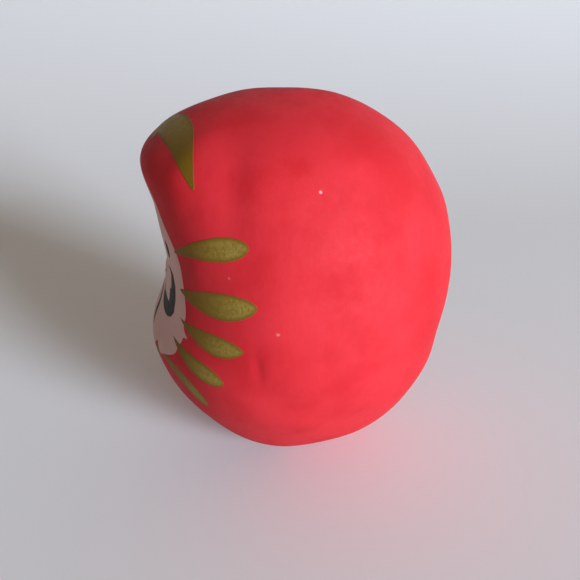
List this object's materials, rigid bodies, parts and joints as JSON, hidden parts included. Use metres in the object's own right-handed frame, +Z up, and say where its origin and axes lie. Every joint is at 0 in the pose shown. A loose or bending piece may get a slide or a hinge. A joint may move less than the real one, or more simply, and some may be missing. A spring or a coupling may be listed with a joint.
{
  "type": "daruma doll",
  "caption": "Small hollow papier-mache tumbler doll, rounded red body with a hollowed painted face and gold leaf strokes, weighted with clay to stand on a small flat foot.",
  "frame": {"origin": "bottom centre of the doll's bounding box, on the underside of the base paper", "axes": "+Z up, -Y the way the face looks, +X the doll's left hand side"},
  "size_m": [0.0522, 0.0512, 0.0613],
  "materials": {
    "red_painted_paper": "matte red paint over white ground on layered paper",
    "red_painted_strip": "matte red paint on thin paper strip",
    "bare_paper": "unpainted fibrous paper",
    "dry_clay": "unglazed dry clay",
    "pasted_pulp": "paper pulp stiff with paste",
    "base_disc_paper": "matte painted paper"
  },
  "bodies": {
    "root": {"paper_shell": "red_painted_paper", "back_seam_strip": "red_painted_strip", "inner_seam_strip": "bare_paper", "clay_weight": "dry_clay", "weight_bedding": "pasted_pulp", "base_paper": "base_disc_paper"}
  },
  "joints": []
}
